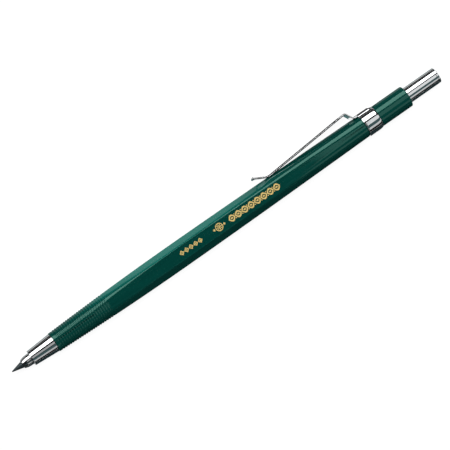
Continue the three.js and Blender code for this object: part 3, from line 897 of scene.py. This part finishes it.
def clip_arm():
    """The sheet arm: foot, riser, long arm that narrows forward, and flared tip."""
    line, crest, tip = clip_line()
    points = evenly(line, CLIP_STEP, CLIP_BEAD)
    end = tip + (line[-1] - line[-2]).normalized() * CLIP_BEAD
    rows = []
    for i, point in enumerate(points):
        ahead, back = points[min(i + 1, len(points) - 1)], points[max(i - 1, 0)]
        along = (ahead - back).normalized()
        out = Vector((along.y, -along.x))
        share = min(1.0, max(0.0, (crest.x - point.x) / (crest.x - end.x)))
        half_width = (CLIP_ROOT_WIDTH + (CLIP_TIP_WIDTH - CLIP_ROOT_WIDTH) * share) / 2
        row = []
        for across, lift in sheet_ring(half_width, sheet_half_thickness((end - point).length)):
            middle = place(point.x + out.x * lift, point.y + out.y * lift, math.pi / 2)
            row.append(middle + Vector((0, 0, across * MM)))
        rows.append(row)
    points, faces = skin(rows, closed=False)
    count = len(rows[0])
    faces += [list(range(count)), [len(points) - 1 - k for k in range(count)]]
    add_object("clip_arm_spring", points, faces, CHROME, "clip", ["clip_arm"])


# ---------------------------------------------------------------- rear end


def rear_sleeve():
    """The sleeve and the plug that fills the barrel's socket and guides the button."""
    spigot, rear, radius = reach("rear_sleeve")
    front, plug = spigot + SLEEVE_PLUG_LENGTH, SLEEVE_BORE + SLEEVE_PLUG_WALL
    corners = [
        (spigot, GUIDE_BORE, 0.05),
        (spigot, plug, 0.08),
        (front, plug, 0.0),
        (front, radius, 0.1),
        (rear, radius, SLEEVE_ROUNDING),
        (rear, SLEEVE_BORE, 0.1),
        (front - SLEEVE_FLOOR, SLEEVE_BORE, 0.0),
        (front - SLEEVE_FLOOR, GUIDE_BORE, 0.05),
    ]
    turned("rear_sleeve_shell", corners, GREEN, "casing", ["rear_sleeve"], 8)


def push_button():
    """The button's tube and the plug that closes its rear end."""
    front, rear, radius = reach("push_button")
    corners = tube_line(front, rear, BUTTON_BORE, radius, 0.1)
    turned("push_button_tube", corners, CHROME, "button", ["push_button"])
    spigot, end, _ = reach("button_end_cap")
    seat, plug = spigot + CAP_SPIGOT + SEAT, BUTTON_BORE - PRESS
    corners = [
        (spigot, 0, 0),
        (spigot, plug, 0.12),
        (seat, plug, 0.0),
        (seat, radius, 0.05),
        (end, radius, CAP_ROUNDING),
        (end, 0, 0),
    ]
    turned("button_end_plug", corners, CHROME, "button", ["button_end_cap"], 8)


# ---------------------------------------------------------------- gold ornament

FOIL_HEIGHT = 0.012
FOIL_SINK = 0.006
LOZENGE_START = 44.4
LOZENGE_COUNT = 5
LOZENGE_PITCH = 1.6
LOZENGE_SIZE = 1.55
ROSETTE_STATION = 57.5
ROSETTE_PETALS = 8
CHAIN_START = 62.0
CHAIN_COUNT = 8
CHAIN_PITCH = 2.25


def foil_shape(points, faces, outer, inner):
    """Adds a flat band between two outlines of (station, across), or all of outer if inner is a point."""
    levels = (FLAT_RADIUS - FOIL_SINK, FLAT_RADIUS + FOIL_HEIGHT)
    count = len(outer)
    base = len(points)
    loops = (outer, inner) if len(inner) > 1 else (outer,)
    for up in levels:
        for loop in loops:
            for station, across in loop:
                points.append(Vector((FRONT_X + station * MM, AXIS_Y + across * MM, AXIS_Z + up * MM)))
    layer = count * len(loops)
    if len(loops) == 1:
        faces.append([base + k for k in range(count)])
        faces.append([base + layer + k for k in range(count)])
    for k in range(count):
        n = (k + 1) % count
        faces.append((base + k, base + n, base + layer + n, base + layer + k))
        if len(loops) == 2:
            a, b = base + count + k, base + count + n
            faces.append((a, b, b + layer, a + layer))
            faces.append((base + k, base + n, b, a))
            faces.append((base + layer + k, base + layer + n, b + layer, a + layer))


def lens(middle, length, height, sides=24):
    """A pointed oval: two arcs that meet on the flat's middle line."""
    outline = []
    for k in range(sides):
        share = 2 * k / (sides / 2) - 1 if k < sides / 2 else 3 - 2 * k / (sides / 2)
        side = 1 if k < sides / 2 else -1
        outline.append((middle[0] + share * length / 2, middle[1] + side * height / 2 * (1 - share**2)))
    return outline


def lozenge(middle, length, height):
    """A diamond."""
    x, y = middle
    return [(x - length / 2, y), (x, y + height / 2), (x + length / 2, y), (x, y - height / 2)]


def disc(middle, radius, sides=32):
    """A circle."""
    x, y = middle
    turns = [2 * math.pi * k / sides for k in range(sides)]
    return [(x + radius * math.cos(a), y + radius * math.sin(a)) for a in turns]


def foil(name, shapes):
    """One gold piece of flat shapes, each an (outer, inner) pair of outlines."""
    points, faces = [], []
    for outer, inner in shapes:
        foil_shape(points, faces, outer, inner)
    piece = add_object(name, points, faces, GOLD, "casing")
    piece.data.shade_flat()


def gold_lozenges():
    """A row of lozenges, each with a smaller one inside."""
    shapes = []
    for k in range(LOZENGE_COUNT):
        middle = (LOZENGE_START + LOZENGE_PITCH * k, 0.0)
        shapes.append((lozenge(middle, LOZENGE_SIZE, LOZENGE_SIZE), lozenge(middle, 0.85, 0.85)))
        shapes.append((lozenge(middle, 0.5, 0.5), [middle]))
    foil("gold_lozenges", shapes)


def petal(turn):
    """One petal of the rosette, a short way out from its centre."""
    outline = lens((0.6, 0), 0.6, 0.3)
    c, s = math.cos(turn), math.sin(turn)
    return [(x * c - y * s + ROSETTE_STATION, x * s + y * c) for x, y in outline]


def gold_rosette():
    """A ring round eight petals and a dot, with a lozenge at each side."""
    centre = (ROSETTE_STATION, 0.0)
    shapes = [(disc(centre, 1.2), disc(centre, 0.95)), (disc(centre, 0.26, 20), [centre])]
    for k in range(ROSETTE_PETALS):
        shapes.append((petal(2 * math.pi * k / ROSETTE_PETALS), [centre]))
    for side in (-1, 1):
        middle = (ROSETTE_STATION + side * 1.75, 0.0)
        shapes.append((lozenge(middle, 0.8, 0.8), [middle]))
    foil("gold_rosette", shapes)


def gold_chain():
    """A chain of pointed ovals with a small one inside each and two dots between neighbours."""
    shapes = []
    for k in range(CHAIN_COUNT):
        middle = (CHAIN_START + CHAIN_PITCH * k, 0.0)
        shapes.append((lens(middle, CHAIN_PITCH, 2.1), lens(middle, 1.4, 1.15)))
        shapes.append((lens(middle, 0.9, 0.5), [middle]))
        if k:
            for side in (-1, 1):
                dot = (middle[0] - CHAIN_PITCH / 2, side * 0.62)
                shapes.append((disc(dot, 0.17, 16), [middle]))
    foil("gold_chain", shapes)


# ---------------------------------------------------------------- stage

KEY_TURN = 15
KEY_DISTANCE = 1.2
KEY_SIZE = (1.2, 0.6)
KEY_POWER = 12
STRIP_POWER = 0.05
FLOOR_GLOW = 0.93
FLOOR_GREY = (0.18, 0.18, 0.18, 1)
FLOOR_HALF = 6.0
PANEL_DISTANCE = 0.6
CARD_HEIGHT = 0.0002
STAGE_ENDS = (-1.3, 1.3)
AROUND_LEVEL = 0.015
BACKDROP_LEVEL = 0.9
CAMERA_STATION = 59.8
CAMERA_SHIFT = -0.48
CAMERA_DISTANCE = 1.5
CAMERA_TILT = math.radians(10)
CAMERA_ROLL = math.radians(34.96)
CAMERA_LENS = 420.5


def emission(name, level, tint=(1, 1, 1)):
    """A material that only glows."""
    material = bpy.data.materials.new(name)
    material.use_nodes = True
    tree = material.node_tree
    tree.nodes.clear()
    shine = tree.nodes.new("ShaderNodeEmission")
    shine.inputs["Color"].default_value = (*tint, 1)
    shine.inputs["Strength"].default_value = level
    output = tree.nodes.new("ShaderNodeOutputMaterial")
    tree.links.new(shine.outputs[0], output.inputs["Surface"])
    return material


def stage_plane(name, corners, material):
    """A flat four-cornered piece of the stage."""
    mesh = bpy.data.meshes.new(name)
    mesh.from_pydata([Vector(c) for c in corners], [], [(0, 1, 2, 3)])
    mesh.materials.append(material)
    plane = bpy.data.objects.new(name, mesh)
    bpy.context.scene.collection.objects.link(plane)
    return plane


def for_reflections(plane):
    """Only what is glossy sees this card: it neither lights nor shades anything."""
    plane.visible_camera = False
    plane.visible_diffuse = False
    plane.visible_shadow = False
    plane.visible_transmission = False
    plane.visible_volume_scatter = False


def panel(name, turns, along, level, tint=(1, 1, 1)):
    """A panel over the pencil for reflections, between two turns in degrees and two X in metres."""
    ends = []
    for turn in (math.radians(turns[0]), math.radians(turns[1])):
        ends.append((AXIS_Y + PANEL_DISTANCE * math.sin(turn), AXIS_Z + PANEL_DISTANCE * math.cos(turn)))
    corners = [(along[0], *ends[0]), (along[1], *ends[0]), (along[1], *ends[1]), (along[0], *ends[1])]
    for_reflections(stage_plane(name, corners, emission(name, level, tint)))


def floor_card(name, near, far, level, tint=(1, 1, 1), along=STAGE_ENDS, up=CARD_HEIGHT):
    """A card on the floor for reflections, between two distances in metres from under the axis."""
    a, b = AXIS_Y + near, AXIS_Y + far
    corners = [(along[0], a, up), (along[1], a, up), (along[1], b, up), (along[0], b, up)]
    card = stage_plane(name, corners, emission(name, level, tint))
    for_reflections(card)
    return card


def floor():
    """A plain pale floor that glows a little, so that it stays pale under soft light."""
    material = bpy.data.materials.new("floor")
    material.use_nodes = True
    shader = material.node_tree.nodes["Principled BSDF"]
    shader.inputs["Base Color"].default_value = FLOOR_GREY
    shader.inputs["Roughness"].default_value = 0.9
    shader.inputs["Specular IOR Level"].default_value = 0.0
    shader.inputs["Emission Color"].default_value = (1, 1, 1, 1)
    shader.inputs["Emission Strength"].default_value = FLOOR_GLOW
    half = FLOOR_HALF
    stage_plane("floor", [(-half, -half, 0), (half, -half, 0), (half, half, 0), (-half, half, 0)], material)


def panels():
    """Soft panels overhead. The nose leans forward, so it has its own beside those of the rear."""
    panel("panel_main", (28, 65), (-0.6, 0.5), 3.0)
    panel("panel_rear", (-20, 13), (0.15, 1.3), 0.8)
    panel("panel_front", (-14, 9), (-0.16, 0.0), 0.4)
    panel("panel_teal", (-46, -21), STAGE_ENDS, 0.1, (0.55, 0.95, 1.0))
    panel("panel_low_front", (-67, -47), (-0.16, 0.0), 0.5)
    panel("panel_low_rear", (-67, -47), (0.15, 1.3), 0.6)


def floor_cards():
    """Cards on the floor along the pencil, and beside the clip and the ring."""
    # A dim teal card under the clip: painted shade and painted green reflection of the floor there, seen
    # only in reflections.
    floor_card("card_under_clip", 0.0036, 0.0062, 0.17, (0.5, 1.0, 1.0))
    floor_card("card_clip_side", 0.0062, 0.014, 0.5)
    floor_card("card_beyond_clip", 0.014, 0.5, 0.05)
    ring_front, ring_rear, _ = reach("clip_ring")
    clip_tip = FRONT_X + (ring_front - CLIP_REACH - CLIP_TIP_REACH + 0.7) * MM
    beside_clip = (clip_tip, FRONT_X + (ring_front - 4.0) * MM)
    floor_card("card_clip_shade", 0.0036, 0.5, 0.04, along=beside_clip, up=0.0003)
    beside_ring = (FRONT_X + (ring_front - 1.0) * MM, FRONT_X + (ring_rear + 3.0) * MM)
    floor_card("card_ring_near", 0.0036, 0.0056, 0.5, along=beside_ring, up=0.0004)
    floor_card("card_ring_far", 0.0056, 0.017, 0.06, along=beside_ring, up=0.0004)
    flag = floor_card("card_plain_side", -0.0045, -0.4, 0.03, (0.5, 0.9, 1.0))
    flag.visible_diffuse = True


def area_light(name, middle, towards, size, power):
    """A soft light that shines one way, its long side along X; it doesn't show in reflections."""
    data = bpy.data.lights.new(name, "AREA")
    data.shape = "RECTANGLE"
    data.size, data.size_y = size
    data.energy = power
    light = bpy.data.objects.new(name, data)
    light.location = middle
    along, back = Vector((1, 0, 0)), -towards
    light.rotation_mode = "QUATERNION"
    light.rotation_quaternion = Matrix((along, back.cross(along), back)).transposed().to_quaternion()
    light.visible_camera = False
    light.visible_glossy = False
    bpy.context.scene.collection.objects.link(light)


def overhead_light(name, turn, distance, size, power):
    """A soft light over the pencil at a turn in degrees, facing its axis."""
    back = Vector((0, math.sin(math.radians(turn)), math.cos(math.radians(turn))))
    area_light(name, Vector((0, AXIS_Y, AXIS_Z)) + back * distance, -back, size, power)


def strip_light():
    """A low strip on the floor that shines up at the flats on the clip's side, ahead of the clip."""
    near, far, first, last = 0.008, 0.033, FRONT_X + 0.015, FRONT_X + 0.071
    middle = Vector(((first + last) / 2, AXIS_Y + (near + far) / 2, 0.0006))
    area_light("strip_light", middle, Vector((0, 0, 1)), (last - first, far - near), STRIP_POWER)


def world():
    """Dim all round for reflections and pale behind the floor's edge."""
    surroundings = bpy.data.worlds.new("studio")
    bpy.context.scene.world = surroundings
    surroundings.use_nodes = True
    tree = surroundings.node_tree
    background = tree.nodes["Background"]
    path = tree.nodes.new("ShaderNodeLightPath")
    mix = tree.nodes.new("ShaderNodeMix")
    mix.inputs["A"].default_value = AROUND_LEVEL
    mix.inputs["B"].default_value = BACKDROP_LEVEL
    tree.links.new(path.outputs["Is Camera Ray"], mix.inputs["Factor"])
    tree.links.new(mix.outputs["Result"], background.inputs["Strength"])
    background.inputs["Color"].default_value = (1, 1, 1, 1)


def camera():
    """Looks down on the marked flat, leaning towards the point, with the pencil rising to the right."""
    tilt, roll = CAMERA_TILT, CAMERA_ROLL
    back = Vector((-math.sin(tilt), 0, math.cos(tilt)))
    along, side = Vector((math.cos(tilt), 0, math.sin(tilt))), Vector((0, 1, 0))
    right = along * math.cos(roll) - side * math.sin(roll)
    up = along * math.sin(roll) + side * math.cos(roll)
    target = place(CAMERA_STATION, 0, 0) + Vector((0, CAMERA_SHIFT * MM, 0))
    data = bpy.data.cameras.new("camera")
    data.sensor_width = 36
    data.lens = CAMERA_LENS
    data.clip_start, data.clip_end = 0.05, 20
    eye = bpy.data.objects.new("camera", data)
    turn = Matrix((right, up, back)).transposed().to_4x4()
    eye.matrix_world = Matrix.Translation(target + back * CAMERA_DISTANCE) @ turn
    bpy.context.scene.collection.objects.link(eye)
    bpy.context.scene.camera = eye


camera()
world()
floor()
panels()
floor_cards()
overhead_light("key_light", KEY_TURN, KEY_DISTANCE, KEY_SIZE, KEY_POWER)
strip_light()

barrel()
gold_lozenges()
gold_rosette()
gold_chain()
nose_cone()
clutch_jaws()
lead()
collet_root()
lead_tube()
spring_seats()
return_spring()
ferrule()
pointer()
clip_ring()
clip_tab()
clip_arm()
rear_sleeve()
push_button()

bpy.context.scene.view_settings.view_transform = "Standard"
